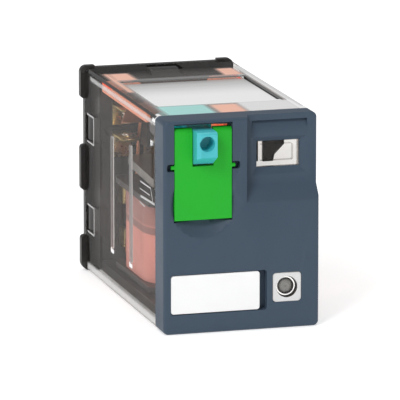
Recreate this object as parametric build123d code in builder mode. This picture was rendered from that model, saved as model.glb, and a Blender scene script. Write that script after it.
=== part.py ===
from build123d import *
import os

# Plug-in control relay, in millimetres.
# The origin is the middle of the blade grid on the socket face. +Y is the way the blades point, so
# the front looks along -Y. +X is to the right seen from the front and +Z is up.

os.makedirs("parts", exist_ok=True)

# ---------------------------------------------------------------- driving dimensions
WIDTH = 21.0  # side to side
BOTTOM, TOP = -14.0, 14.2
HEIGHT = TOP - BOTTOM
MIDDLE = (TOP + BOTTOM) / 2
DEPTH = 40.5  # socket face to front face
BLADE_REACH = 5.5  # blades behind the socket face
CORNER = 0.7  # outer corners of the case
GAP = 0.05  # clearance between fitted pieces

# Stations along the case, each a distance forward of the socket face
FLANGE_FRONT = 1.0
PLUG_FRONT = 5.2
SKIRT_BACK = 36.5  # rear edge of the bezel's skirt
NOSE_FRONT = 37.9  # front wall of the cover
BEZEL_BACK = 38.0  # rear of the bezel's front wall
RECESS_FLOOR = 39.0  # stepped recess, upper right

WALL = 0.9  # clear cover
SKIRT = 0.8  # bezel skirt
LUG_X = 0.58  # how far the base's lugs stand out sideways
LUG_Z = 0.25  # and above

# Terminals
COLUMNS = (-6.6, -2.2, 2.2, 6.6)
PITCH = 4.4
NC_Z = 8.3
NO_Z = 3.9
COM_Z = -2.4
COIL_Z = -8.3
BLADE_WIDTH = 2.5
BLADE_THICK = 0.5
TAB_WIDTH = 2.5
TAB_FRONT = 10.4  # front end of the fixed contact tabs

# Contacts, from the top down
CONTACT_Y = 9.0  # forward distance of the contacts
CONTACT_RADIUS = 0.9
SHANK_RADIUS = 0.5
SPRING_TIP_Z = 8.45
SPRING_THICK = 0.25
HEAD = 0.475  # height of a moving contact's head
CONTACT_GAP = 1.25
NC_TAB_Z = 9.6  # underside of the closed contact's tab
NO_TAB_Z = 6.1  # top of the open contact's tab

# Magnet
COIL_AXIS = 18.0  # forward distance of the coil's axis
PIVOT_FORWARD = 31.2
PIVOT_Z = 1.3
OPEN_ANGLE = 3.0  # armature's lift at rest
POLE_TOP = 1.25

# Door and button
DOOR_LEFT, DOOR_RIGHT = -9.0, -1.33
DOOR_BOTTOM, DOOR_TOP = 1.05, 13.1
DOOR_PIVOT_Z = 8.05
DOOR_PIVOT_FORWARD = 40.25
DOOR_FRONT, DOOR_BACK = 40.4, 39.4
BUTTON_LEFT, BUTTON_RIGHT = -6.5, -3.86
BUTTON_FRONT = 42.55
BUTTON_X = (BUTTON_LEFT + BUTTON_RIGHT) / 2

# Windows in the bezel
LENS_X, LENS_Z = 5.45, 8.85
LENS_WIDTH, LENS_HEIGHT = 5.7, 3.35
LENS_FRONT = 38.6
LED_X, LED_Z = 6.15, -8.55
LED_WINDOW = 3.86
LED_WINDOW_FRONT = 40.4


def forward(distance):
    """Upright plane facing the front, a distance forward of the socket face."""
    return Plane.XZ.offset(distance)


def save(part, name):
    part.label = name
    export_step(part, f"parts/{name}.step")


def tilt_open(part):
    """Lift a piece of the closed armature to where it rests."""
    pivot = Axis((0, -PIVOT_FORWARD, PIVOT_Z), (1, 0, 0))
    return part.rotate(pivot, OPEN_ANGLE)


# ---------------------------------------------------------------- base
LUG_OUT = WIDTH / 2 + LUG_X
LUG_TOP = TOP + LUG_Z
LUGS = (  # left, right, bottom and top of each lug on the flange
    (-LUG_OUT, -9.1, 9.95, LUG_TOP),
    (-LUG_OUT, -10.0, -2.75, 3.55),
    (-LUG_OUT, -10.0, BOTTOM, -9.05),
    (8.2, WIDTH / 2, 13.0, LUG_TOP),
    (10.0, LUG_OUT, -2.75, 3.55),
    (10.0, LUG_OUT, BOTTOM, -9.05),
)
SIDE_WINDOWS = (6.2, -6.3)  # heights of the snap windows in the sides
WINDOW_LENGTH = 3.5
WINDOW_BACK, WINDOW_FRONT = 1.6, 5.4
RAIL_IN, RAIL_OUT = 6.9, 9.4
RAIL_BOTTOM, RAIL_TOP = -12.99, -11.75
RAIL_FRONT = 35.5
TAB_ROOT, TAB_TIP = 9.4, 10.3  # how far out a side snap tab starts and ends
TAB_STATIONS = (2.0, 3.2, 5.0)  # rear, end of the level top and end of the ramp
END_TAB_ROOT, END_TAB_TIP = 1.1, 0.2  # depth of the upper and lower tabs below the cover's faces
PARTITION_Z, PARTITION_HEIGHT = 8.7, 7.8
PARTITION_THICK, PARTITION_LENGTH = 0.6, 6.3
BOARD_BACK, BOARD_FRONT = 34.2, 35.0


def lug_corners(flange, low, high, beyond=WIDTH / 2 + 0.1):
    """Corners of the flange that stand out sideways, between two heights."""
    return [corner for corner in flange.vertices() if abs(corner.X) > beyond and low < corner.Y < high]


with BuildPart() as base:
    # flange with its lugs, rounded most at the case's corners
    with BuildSketch(forward(0)) as flange:
        with Locations((0, MIDDLE)):
            Rectangle(WIDTH, HEIGHT)
        for left, right, low, high in LUGS:
            with Locations(((left + right) / 2, (low + high) / 2)):
                Rectangle(right - left, high - low)
        fillet(lug_corners(flange, -9.5, 10.0), 0.5)
        fillet(lug_corners(flange, BOTTOM - 0.1, BOTTOM + 0.1), 1.3)
        fillet(lug_corners(flange, TOP + 0.1, LUG_TOP + 0.1, beyond=WIDTH / 2 - 0.1), 0.9)
    extrude(amount=FLANGE_FRONT)
    # plug that fills the rear of the cover
    with BuildSketch(forward(FLANGE_FRONT)):
        with Locations((0, MIDDLE)):
            RectangleRounded(WIDTH - 2 * WALL - 2 * GAP, HEIGHT - 2 * WALL - 2 * GAP, 0.4)
    extrude(amount=PLUG_FRONT - FLANGE_FRONT)
    # snap tabs, ramped at the front, that spring into the cover's windows
    tab_back, tab_level, tab_front = TAB_STATIONS
    for side in (-1, 1):
        for height in SIDE_WINDOWS:
            with BuildSketch(Plane.XY.offset(height)):
                with BuildLine():
                    Polyline(
                        (side * TAB_ROOT, -tab_back),
                        (side * TAB_TIP, -tab_back),
                        (side * TAB_TIP, -tab_level),
                        (side * TAB_ROOT, -tab_front),
                        close=True,
                    )
                make_face()
            extrude(amount=1.6, both=True)
    for level, inward in ((TOP, -1), (BOTTOM, 1)):
        with BuildSketch(Plane.YZ):
            with BuildLine():
                Polyline(
                    (-tab_back, level + inward * END_TAB_ROOT),
                    (-tab_back, level + inward * END_TAB_TIP),
                    (-tab_level, level + inward * END_TAB_TIP),
                    (-tab_front, level + inward * END_TAB_ROOT),
                    close=True,
                )
            make_face()
        extrude(amount=2.0, both=True)
    # partitions between the contacts
    with BuildSketch(forward(PLUG_FRONT)):
        with Locations(*[(x, PARTITION_Z) for x in (-PITCH, 0, PITCH)]):
            Rectangle(PARTITION_THICK, PARTITION_HEIGHT)
    extrude(amount=PARTITION_LENGTH)
    # two rails under the magnet, the right one slotted for the indicator board
    with BuildSketch(forward(PLUG_FRONT)):
        for side in (-1, 1):
            with Locations((side * (RAIL_IN + RAIL_OUT) / 2, (RAIL_BOTTOM + RAIL_TOP) / 2)):
                Rectangle(RAIL_OUT - RAIL_IN, RAIL_TOP - RAIL_BOTTOM)
    extrude(amount=RAIL_FRONT - PLUG_FRONT)
    with BuildSketch(forward(BOARD_BACK - GAP)):
        with Locations((5.1, -12.0)):
            Rectangle(7.9, 1.0)
    extrude(amount=BOARD_FRONT - BOARD_BACK + 2 * GAP, mode=Mode.SUBTRACT)
    # slots for the blades
    with BuildSketch(forward(0)):
        for height in (NC_Z, NO_Z, COM_Z):
            with Locations(*[(x, height) for x in COLUMNS]):
                Rectangle(BLADE_THICK + 2 * GAP, BLADE_WIDTH + 2 * GAP)
        with Locations((COLUMNS[0], COIL_Z), (COLUMNS[3], COIL_Z)):
            Rectangle(BLADE_THICK + 2 * GAP, BLADE_WIDTH + 2 * GAP)
    extrude(amount=PLUG_FRONT, mode=Mode.SUBTRACT)
save(base.part, "base")

# ---------------------------------------------------------------- clear cover
NOSE_WIDTH = WIDTH - 2 * SKIRT - 2 * GAP
NOSE_HEIGHT = HEIGHT - 2 * SKIRT - 2 * GAP
NOSE_WALL = 0.85
CAVITY_STEP = 35.6  # the hollow narrows here
CAVITY_FRONT = 37.0
GROOVES = ((14.6, -0.3, 15.4), (23.9, 0.0, 15.9))  # forward distance, middle height, length
GROOVE_DEPTH = 0.35
PAD_WIDTH = 17.0
PAD_BACK, PAD_FRONT = 13.2, 29.8
PAD_DEPTH = 0.25
LAMP_HOLE_RADIUS = 1.5
LAMP_HOLE_DEPTH = 2.6
END_WINDOW_WIDTH = 4.4  # snap windows in the top and the bottom
CUT = 1.2  # a cut that goes right through the wall
CATCH_FORWARD, CATCH_LENGTH = 35.25, 1.3  # slots in the sides that the bezel catches in
CATCH_Z, CATCH_HEIGHT = 7.5, 6.0
OPENING_LEFT, OPENING_RIGHT = -9.2, -1.2  # opening in front for the button and the door's arms
OPENING_BOTTOM, OPENING_TOP = 7.2, 13.4

with BuildPart() as clear_cover:
    with BuildSketch(forward(FLANGE_FRONT)):
        with Locations((0, MIDDLE)):
            RectangleRounded(WIDTH, HEIGHT, CORNER)
    extrude(amount=SKIRT_BACK - FLANGE_FRONT)
    with BuildSketch(forward(SKIRT_BACK)):
        with Locations((0, MIDDLE)):
            RectangleRounded(NOSE_WIDTH, NOSE_HEIGHT, 0.4)
    extrude(amount=NOSE_FRONT - SKIRT_BACK)
    # bosses that reach through the bezel: indicator window and lamp window
    with BuildSketch(forward(NOSE_FRONT)):
        with Locations((LENS_X, LENS_Z)):
            RectangleRounded(LENS_WIDTH, LENS_HEIGHT, 0.25)
    extrude(amount=LENS_FRONT - NOSE_FRONT)
    with BuildSketch(forward(NOSE_FRONT)):
        with Locations((LED_X, LED_Z)):
            RectangleRounded(LED_WINDOW, LED_WINDOW, 0.5)
    extrude(amount=LED_WINDOW_FRONT - NOSE_FRONT)
    # the hollow, narrower inside the nose
    with BuildSketch(forward(FLANGE_FRONT)):
        with Locations((0, MIDDLE)):
            RectangleRounded(WIDTH - 2 * WALL, HEIGHT - 2 * WALL, 0.4)
    extrude(amount=CAVITY_STEP - FLANGE_FRONT, mode=Mode.SUBTRACT)
    with BuildSketch(forward(CAVITY_STEP)):
        with Locations((0, MIDDLE)):
            RectangleRounded(NOSE_WIDTH - 2 * NOSE_WALL, NOSE_HEIGHT - 2 * NOSE_WALL, 0.4)
    extrude(amount=CAVITY_FRONT - CAVITY_STEP, mode=Mode.SUBTRACT)
    with BuildSketch(forward(CAVITY_FRONT)):
        with Locations((LENS_X, LENS_Z)):
            RectangleRounded(LENS_WIDTH - 1.2, LENS_HEIGHT - 1.2, 0.2)
    extrude(amount=0.9, mode=Mode.SUBTRACT)
    with BuildSketch(forward(CAVITY_FRONT)):
        with Locations((LED_X, LED_Z)):
            Circle(LAMP_HOLE_RADIUS)
    extrude(amount=LAMP_HOLE_DEPTH, mode=Mode.SUBTRACT)
    # opening in front for the test button and the door's arms
    with BuildSketch(forward(CAVITY_STEP - 0.1)):
        with Locations(((OPENING_LEFT + OPENING_RIGHT) / 2, (OPENING_BOTTOM + OPENING_TOP) / 2)):
            Rectangle(OPENING_RIGHT - OPENING_LEFT, OPENING_TOP - OPENING_BOTTOM)
    extrude(amount=3.0, mode=Mode.SUBTRACT)
    # snap windows for the base's tabs, and a catch slot beside the bezel
    for side in (-1, 1):
        with BuildSketch(Plane.YZ.offset(side * WIDTH / 2)):
            for height in SIDE_WINDOWS:
                with Locations((-(WINDOW_BACK + WINDOW_FRONT) / 2, height)):
                    Rectangle(WINDOW_FRONT - WINDOW_BACK, WINDOW_LENGTH)
            with Locations((-CATCH_FORWARD, CATCH_Z)):
                Rectangle(CATCH_LENGTH, CATCH_HEIGHT)
        extrude(amount=-side * CUT, mode=Mode.SUBTRACT)
        # two upright grooves in each side
        with BuildSketch(Plane.YZ.offset(side * WIDTH / 2)):
            for station, height, length in GROOVES:
                with Locations((-station, height)):
                    SlotOverall(length, 0.5, rotation=90)
        extrude(amount=-side * GROOVE_DEPTH, mode=Mode.SUBTRACT)
    for level, inward in ((TOP, -1), (BOTTOM, 1)):
        with BuildSketch(Plane.XY.offset(level)):
            with Locations((0, -(WINDOW_BACK + WINDOW_FRONT) / 2)):
                Rectangle(END_WINDOW_WIDTH, WINDOW_FRONT - WINDOW_BACK)
        extrude(amount=inward * CUT, mode=Mode.SUBTRACT)
    # sunk pad on top
    with BuildSketch(Plane.XY.offset(TOP)):
        with Locations((0, -(PAD_BACK + PAD_FRONT) / 2)):
            RectangleRounded(PAD_WIDTH, PAD_FRONT - PAD_BACK, 0.3)
    extrude(amount=-PAD_DEPTH, mode=Mode.SUBTRACT)
save(clear_cover.part, "clear_cover")

# ---------------------------------------------------------------- front bezel
RECESS_LEFT = 0.7
RECESS_BOTTOM = 2.9
RECESS_RISE = 1.9  # height of the slope below the recess
RECESS_SLANT = 0.45  # lean of the recess's left wall
POCKET_FLOOR = 39.35  # behind the door's lower half
POCKET_BOTTOM, POCKET_TOP = 0.8, 13.75
POCKET_SIDE = 0.08  # gap beside the door
NOTCH_LEFT, NOTCH_RIGHT = -10.04, -0.22  # outer ends of the notches for the door's pins
FRAME_BOTTOM, FRAME_TOP = 6.1, 11.2  # sloping frame round the indicator window
FRAME_WIDTH = 7.6
LEDGE_LEFT, LEDGE_WIDTH = 1.75, 7.5
LEDGE_TOP, LEDGE_DEPTH = 13.4, 0.55
LEDGE_RUN = 1.35  # height over which the ledge runs out
OVERSHOOT = (12.0, 14.0)  # reaches past the bezel's right side and top
DOORWAY_LEFT, DOORWAY_RIGHT = -9.065, -1.265  # opening behind the door's upper half
DOORWAY_BOTTOM, DOORWAY_TOP = 7.05, 13.35
SCOOP_RADIUS = 7.5
SCOOP_RIM = 4.56  # radius of the scoop's circle in the front face
SCOOP_Z = 3.07
LABEL_LEFT, LABEL_RIGHT = -9.52, 2.46
LABEL_BOTTOM, LABEL_TOP = -11.3, -6.2
LABEL_DEPTH = 0.6
FINGER_GAP = 0.9

with BuildPart() as front_bezel:
    with BuildSketch(forward(SKIRT_BACK)):
        with Locations((0, MIDDLE)):
            RectangleRounded(WIDTH, HEIGHT, CORNER)
    extrude(amount=DEPTH - SKIRT_BACK)
    fillet(front_bezel.faces().sort_by(Axis.Y)[0].edges(), 0.4)
    # hollow behind, over the cover's nose
    with BuildSketch(forward(SKIRT_BACK)):
        with Locations((0, MIDDLE)):
            RectangleRounded(WIDTH - 2 * SKIRT, HEIGHT - 2 * SKIRT, 0.4)
    extrude(amount=BEZEL_BACK - SKIRT_BACK, mode=Mode.SUBTRACT)
    # lightening pockets behind the legend and the plain middle
    with BuildSketch(forward(BEZEL_BACK)):
        with Locations((-3.4, -8.0)):
            Rectangle(11.0, 7.0)
        with Locations((5.4, -1.5)):
            Rectangle(7.0, 5.0)
    extrude(amount=0.7, mode=Mode.SUBTRACT)
    # stepped recess, open to the top and the right, with sloping left and lower walls
    with BuildSketch(forward(DEPTH)):
        with Locations((RECESS_LEFT, RECESS_BOTTOM)):
            Rectangle(*OVERSHOOT, align=(Align.MIN, Align.MIN))
    with BuildSketch(forward(RECESS_FLOOR)):
        with Locations((RECESS_LEFT + RECESS_SLANT, RECESS_BOTTOM + RECESS_RISE)):
            Rectangle(*OVERSHOOT, align=(Align.MIN, Align.MIN))
    loft(mode=Mode.SUBTRACT)
    # sloping frame round the indicator window, and the window itself
    with BuildSketch(forward(RECESS_FLOOR)):
        with Locations((LENS_X, (FRAME_BOTTOM + FRAME_TOP) / 2)):
            Rectangle(FRAME_WIDTH, FRAME_TOP - FRAME_BOTTOM)
    with BuildSketch(forward(LENS_FRONT - 0.1)):
        with Locations((LENS_X, LENS_Z)):
            Rectangle(LENS_WIDTH + 2 * GAP, LENS_HEIGHT + 2 * GAP)
    loft(mode=Mode.SUBTRACT)
    with BuildSketch(forward(BEZEL_BACK)):
        with Locations((LENS_X, LENS_Z)):
            Rectangle(LENS_WIDTH + 2 * GAP, LENS_HEIGHT + 2 * GAP)
    extrude(amount=1.0, mode=Mode.SUBTRACT)
    # finger ledge above the window: deep at its top, running out downwards
    with BuildSketch(Plane.YZ.offset(LEDGE_LEFT)):
        with BuildLine():
            Polyline(
                (-RECESS_FLOOR - 0.1, LEDGE_TOP),
                (-RECESS_FLOOR + LEDGE_DEPTH, LEDGE_TOP),
                (-RECESS_FLOOR - 0.1, LEDGE_TOP - LEDGE_RUN),
                close=True,
            )
        make_face()
    extrude(amount=LEDGE_WIDTH, mode=Mode.SUBTRACT)
    # door pocket with a floor behind the lower half and an opening behind the upper half
    with BuildSketch(forward(POCKET_FLOOR)):
        with Locations(((DOOR_LEFT + DOOR_RIGHT) / 2, (POCKET_BOTTOM + POCKET_TOP) / 2)):
            Rectangle(DOOR_RIGHT - DOOR_LEFT + 2 * POCKET_SIDE, POCKET_TOP - POCKET_BOTTOM)
        with Locations(((NOTCH_LEFT + NOTCH_RIGHT) / 2, DOOR_PIVOT_Z)):
            RectangleRounded(NOTCH_RIGHT - NOTCH_LEFT, 1.0, 0.3)
    extrude(amount=2.0, mode=Mode.SUBTRACT)
    with BuildSketch(forward(BEZEL_BACK)):
        with Locations(((DOORWAY_LEFT + DOORWAY_RIGHT) / 2, (DOORWAY_BOTTOM + DOORWAY_TOP) / 2)):
            Rectangle(DOORWAY_RIGHT - DOORWAY_LEFT, DOORWAY_TOP - DOORWAY_BOTTOM)
    extrude(amount=2.0, mode=Mode.SUBTRACT)
    # dished thumb scoop under the door
    with Locations((BUTTON_X, -DEPTH - (SCOOP_RADIUS**2 - SCOOP_RIM**2) ** 0.5, SCOOP_Z)):
        Sphere(SCOOP_RADIUS, mode=Mode.SUBTRACT)
    # legend recess with a deeper finger gap at its right
    with BuildSketch(forward(DEPTH)):
        with Locations(((LABEL_LEFT + LABEL_RIGHT + FINGER_GAP) / 2, (LABEL_BOTTOM + LABEL_TOP) / 2)):
            RectangleRounded(LABEL_RIGHT - LABEL_LEFT + FINGER_GAP + 0.1, LABEL_TOP - LABEL_BOTTOM + 0.2, 0.4)
    extrude(amount=-LABEL_DEPTH, mode=Mode.SUBTRACT)
    with BuildSketch(forward(DEPTH - LABEL_DEPTH)):
        with Locations((LABEL_RIGHT + FINGER_GAP / 2, (LABEL_BOTTOM + LABEL_TOP) / 2)):
            Rectangle(FINGER_GAP, LABEL_TOP - LABEL_BOTTOM)
    extrude(amount=-0.5, mode=Mode.SUBTRACT)
    # opening for the lamp window
    with BuildSketch(forward(BEZEL_BACK)):
        with Locations((LED_X, LED_Z)):
            RectangleRounded(LED_WINDOW + 2 * GAP, LED_WINDOW + 2 * GAP, 0.52)
    extrude(amount=4.0, mode=Mode.SUBTRACT)
save(front_bezel.part, "front_bezel")

# ---------------------------------------------------------------- legend plate
with BuildPart() as legend_label:
    with BuildSketch(forward(DEPTH - LABEL_DEPTH)):
        with Locations(((LABEL_LEFT + LABEL_RIGHT) / 2, (LABEL_BOTTOM + LABEL_TOP) / 2)):
            RectangleRounded(LABEL_RIGHT - LABEL_LEFT, LABEL_TOP - LABEL_BOTTOM, 0.4)
    extrude(amount=LABEL_DEPTH - 0.05)
    fillet(legend_label.faces().sort_by(Axis.Y)[0].edges(), 0.08)
save(legend_label.part, "legend_label")

# ---------------------------------------------------------------- lock door
NOTCH_BOTTOM = 8.1  # lower edge of the opening for the test button
ARM_CLEAR = 0.1
PIN_RADIUS = 0.25
PIN_LENGTH = 0.45

with BuildPart() as lock_door:
    with BuildSketch(forward(DOOR_BACK)):
        with Locations((DOOR_LEFT, DOOR_BOTTOM)):
            Rectangle(DOOR_RIGHT - DOOR_LEFT, DOOR_TOP - DOOR_BOTTOM, align=(Align.MIN, Align.MIN))
        with Locations((BUTTON_X, NOTCH_BOTTOM)):
            Rectangle(
                BUTTON_RIGHT - BUTTON_LEFT + 2 * ARM_CLEAR,
                8.0,
                align=(Align.CENTER, Align.MIN),
                mode=Mode.SUBTRACT,
            )
    extrude(amount=DOOR_FRONT - DOOR_BACK)
    # the arms' ends are rounded in front
    fillet(lock_door.edges().filter_by(Axis.X).group_by(Axis.Z)[-1].group_by(Axis.Y)[0], 0.6)
    # pivot pins in the bezel's side notches
    for end, way in ((DOOR_LEFT, -1), (DOOR_RIGHT, 1)):
        with BuildSketch(Plane.YZ.offset(end)):
            with Locations((-DOOR_PIVOT_FORWARD, DOOR_PIVOT_Z)):
                Circle(PIN_RADIUS)
        extrude(amount=way * PIN_LENGTH)
save(lock_door.part, "lock_door")

# ---------------------------------------------------------------- test button
BODY_LEFT, BODY_RIGHT = -8.4, -2.5
BODY_FRONT, BODY_BACK = 34.9, 32.2
HEAD_TOP = 12.87
HEAD_UNDER = 8.4  # underside, level with the door's front
FACE_BOTTOM = 9.6
HOLE_Z = 11.37  # blind hole for a tool tip
HOLE_RADIUS, HOLE_DEPTH = 1.0, 2.6

with BuildPart() as test_button:
    # head: flat face, sloping underside
    with BuildSketch(Plane.YZ.offset(BUTTON_LEFT)):
        with BuildLine():
            Polyline(
                (-BODY_FRONT, HEAD_TOP),
                (-BUTTON_FRONT, HEAD_TOP),
                (-BUTTON_FRONT, FACE_BOTTOM),
                (-DOOR_FRONT, HEAD_UNDER),
                (-BODY_FRONT, HEAD_UNDER),
                close=True,
            )
        make_face()
    extrude(amount=BUTTON_RIGHT - BUTTON_LEFT)
    front_face = test_button.faces().sort_by(Axis.Y)[0]
    chamfer(front_face.edges().sort_by(Axis.X)[0], 0.45)
    chamfer(test_button.faces().sort_by(Axis.Y)[0].edges().sort_by(Axis.Z)[-1], 0.3)
    # blind hole for a tool tip
    with Locations(forward(BUTTON_FRONT)):
        with Locations((BUTTON_X, HOLE_Z)):
            Hole(HOLE_RADIUS, depth=HOLE_DEPTH)
    # wide inner body that meets the contact card
    with BuildSketch(forward(BODY_BACK)):
        with Locations((BODY_LEFT, HEAD_UNDER)):
            Rectangle(BODY_RIGHT - BODY_LEFT, HEAD_TOP - HEAD_UNDER, align=(Align.MIN, Align.MIN))
    extrude(amount=BODY_FRONT - BODY_BACK)
    fillet(test_button.edges().filter_by(Axis.Z).group_by(Axis.Y)[-1], 0.4)
save(test_button.part, "test_button")


# ---------------------------------------------------------------- terminals
EYE_BACK, EYE_LENGTH, EYE_WIDTH = 3.3, 2.2, 1.1  # slot through each blade
COMMON_END, COIL_END = 7.0, 7.6  # inner ends of the common and coil blades


def blade_outline(height, inner_end):
    """A blade seen from the side, with a chamfered tip and an eye."""
    with Locations(((BLADE_REACH - inner_end) / 2, height)):
        Rectangle(BLADE_REACH + inner_end, BLADE_WIDTH)
    chamfer(vertices().sort_by(Axis.X)[-2:], 0.6)
    with Locations((EYE_BACK, height)):
        SlotOverall(EYE_LENGTH, EYE_WIDTH, mode=Mode.SUBTRACT)


def contact_terminal(x, blade_z, tab_z, tab_top):
    """Blade, riser and horizontal tab of a fixed contact, with the rivet's hole in the tab."""
    low = min(blade_z - BLADE_WIDTH / 2, tab_z)
    high = max(blade_z - BLADE_WIDTH / 2, tab_z + BLADE_THICK)
    with BuildPart() as terminal:
        with BuildSketch(Plane.YZ.offset(x - BLADE_THICK / 2)):
            blade_outline(blade_z, PLUG_FRONT + 0.3)
        extrude(amount=BLADE_THICK)
        with BuildSketch(forward(PLUG_FRONT + 0.05)):
            with Locations((x, (low + tab_top) / 2)):
                Rectangle(TAB_WIDTH, tab_top - low)
        extrude(amount=BLADE_THICK)
        with BuildSketch(Plane.XY.offset(tab_z)):
            with Locations((x, -PLUG_FRONT - 0.05)):
                Rectangle(TAB_WIDTH, TAB_FRONT - PLUG_FRONT, align=(Align.CENTER, Align.MAX))
            with Locations((x, -CONTACT_Y)):
                Circle(SHANK_RADIUS + 0.02, mode=Mode.SUBTRACT)
        extrude(amount=BLADE_THICK)
    return terminal.part


def common_terminal(x):
    """Blade of a common contact, with a solder tab for its braid."""
    with BuildPart() as terminal:
        with BuildSketch(Plane.YZ.offset(x - BLADE_THICK / 2)):
            blade_outline(COM_Z, COMMON_END)
        extrude(amount=BLADE_THICK)
        with BuildSketch(forward(COMMON_END - BLADE_THICK)):
            with Locations((x + 0.75, COM_Z)):
                Rectangle(2.0, 1.6)
        extrude(amount=BLADE_THICK)
    return terminal.part


def coil_terminal(x):
    with BuildPart() as terminal:
        with BuildSketch(Plane.YZ.offset(x - BLADE_THICK / 2)):
            blade_outline(COIL_Z, COIL_END)
        extrude(amount=BLADE_THICK)
    return terminal.part


for number, x in enumerate(COLUMNS, start=1):
    save(contact_terminal(x, NC_Z, NC_TAB_Z, NC_TAB_Z + BLADE_THICK), f"nc_terminal_{number}")
    save(contact_terminal(x, NO_Z, NO_TAB_Z - BLADE_THICK, NO_TAB_Z), f"no_terminal_{number}")
    save(common_terminal(x), f"com_terminal_{number}")
for number, x in enumerate((COLUMNS[0], COLUMNS[3]), start=1):
    save(coil_terminal(x), f"coil_terminal_{number}")


# ---------------------------------------------------------------- contact rivets
CLINCH_RADIUS = 0.75
CLINCH = 0.2  # height of the clinched end


def rivet(x, face_z, way, head, grip):
    """Contact rivet: domed head below or above a strip, shank through it, clinched end beyond."""
    with BuildPart() as body:
        with BuildSketch(Plane.XY.offset(face_z)):
            with Locations((x, -CONTACT_Y)):
                Circle(CONTACT_RADIUS)
        extrude(amount=way * head)
        rim = body.edges().sort_by(Axis.Z)
        fillet(rim[-1] if way > 0 else rim[0], 0.25)
        with BuildSketch(Plane.XY.offset(face_z)):
            with Locations((x, -CONTACT_Y)):
                Circle(SHANK_RADIUS)
        extrude(amount=-way * (grip + CLINCH))
        with BuildSketch(Plane.XY.offset(face_z - way * grip)):
            with Locations((x, -CONTACT_Y)):
                Circle(CLINCH_RADIUS)
        extrude(amount=-way * CLINCH)
    return body.part


SPRING_TOP = SPRING_TIP_Z + SPRING_THICK / 2
SPRING_UNDER = SPRING_TIP_Z - SPRING_THICK / 2
NO_HEAD = SPRING_UNDER - HEAD - CONTACT_GAP - NO_TAB_Z
NC_HEAD = NC_TAB_Z - SPRING_TOP - HEAD - 0.02


def moving_contact(x):
    """Contact with a head on each side of the moving spring."""
    with BuildPart() as body:
        with BuildSketch(Plane.XY.offset(SPRING_TOP)):
            with Locations((x, -CONTACT_Y)):
                Circle(CONTACT_RADIUS)
        extrude(amount=HEAD)
        with BuildSketch(Plane.XY.offset(SPRING_UNDER)):
            with Locations((x, -CONTACT_Y)):
                Circle(CONTACT_RADIUS)
        extrude(amount=-HEAD)
        rims = body.edges().sort_by(Axis.Z)
        fillet([rims[0], rims[-1]], 0.25)
        with BuildSketch(Plane.XY.offset(SPRING_UNDER)):
            with Locations((x, -CONTACT_Y)):
                Circle(0.45)
        extrude(amount=SPRING_THICK)
    return body.part


save(Compound([rivet(x, NC_TAB_Z, -1, NC_HEAD, BLADE_THICK) for x in COLUMNS]), "nc_contacts")
save(Compound([rivet(x, NO_TAB_Z, 1, NO_HEAD, BLADE_THICK) for x in COLUMNS]), "no_contacts")
save(Compound([moving_contact(x) for x in COLUMNS]), "moving_contacts")

# ---------------------------------------------------------------- moving springs
SPRING_HIGH_Z = 11.5  # where the springs sit in the card
SPRING_FRONT = 30.2
SPRING_WIDTH = 3.2
TONGUE_SIDE = 0.35  # how much narrower each side of the tongue is
TONGUE_END = 11.0  # forward end of the tongue
RAMP_FRONT, RAMP_BACK = 14.6, 11.6
SPRING_BACK = 7.4


def moving_spring(x):
    """Copper strip: level in the card, ramped down, level again at the contact."""
    with BuildPart() as spring:
        with BuildSketch(Plane.YZ.offset(x - SPRING_WIDTH / 2)):
            with BuildLine():
                FilletPolyline(
                    (-SPRING_FRONT, SPRING_HIGH_Z),
                    (-RAMP_FRONT, SPRING_HIGH_Z),
                    (-RAMP_BACK, SPRING_TIP_Z),
                    (-SPRING_BACK, SPRING_TIP_Z),
                    radius=0.8,
                )
            trace(line_width=SPRING_THICK)
        extrude(amount=SPRING_WIDTH)
        with BuildSketch(Plane.XY.offset(SPRING_TIP_Z - 1)):
            with Locations((x, -CONTACT_Y)):
                Circle(0.47)
        extrude(amount=2.0, mode=Mode.SUBTRACT)
        # narrow tongue round the contact
        with BuildSketch(Plane.XY.offset(SPRING_TIP_Z - 1)):
            for side in (-1, 1):
                with Locations((x + side * SPRING_WIDTH / 2, -TONGUE_END)):
                    Rectangle(2 * TONGUE_SIDE, TONGUE_END - 3.0, align=(Align.CENTER, Align.MIN))
        extrude(amount=2.0, mode=Mode.SUBTRACT)
    return spring.part


for number, x in enumerate(COLUMNS, start=1):
    save(moving_spring(x), f"moving_spring_{number}")

# ---------------------------------------------------------------- magnet
YOKE_BOTTOM = -12.9
HALF_YOKE = 6.5
STEM_RADIUS = 2.0  # end of the core riveted through the yoke
BOBBIN_BOTTOM, BOBBIN_TOP = -11.6, 0.8
FLANGE_THICK = 0.8
TUBE_RADIUS = 4.2
CORE_RADIUS = 3.1
STEEL = 1.2
POLE_RADIUS = 4.8
YOKE_BACK = 10.0
HOOK_X, HOOK_Z, HOOK_WIDTH, HOOK_LENGTH = -4.0, -7.0, 2.4, 2.4
FLANGE_WIDTH, FLANGE_LENGTH = 17.2, 18.2  # of the bobbin's flanges
WINDING_WIDTH = 15.9
TAPE_WIDTH = 16.4

with BuildPart() as core:
    with BuildSketch(Plane.XY.offset(YOKE_BOTTOM)):
        with Locations((0, -COIL_AXIS)):
            Circle(STEM_RADIUS)
    extrude(amount=STEEL)
    with BuildSketch(Plane.XY.offset(YOKE_BOTTOM + STEEL)):
        with Locations((0, -COIL_AXIS)):
            Circle(CORE_RADIUS)
    extrude(amount=BOBBIN_TOP - YOKE_BOTTOM - STEEL)
    with BuildSketch(Plane.XY.offset(BOBBIN_TOP + 0.03)):
        with Locations((0, -COIL_AXIS)):
            Circle(POLE_RADIUS)
    extrude(amount=POLE_TOP - BOBBIN_TOP - 0.03)
    with BuildSketch(Plane.XY.offset(BOBBIN_TOP)):
        with Locations((0, -COIL_AXIS)):
            Circle(CORE_RADIUS)
    extrude(amount=0.1)
save(core.part, "core")

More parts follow.
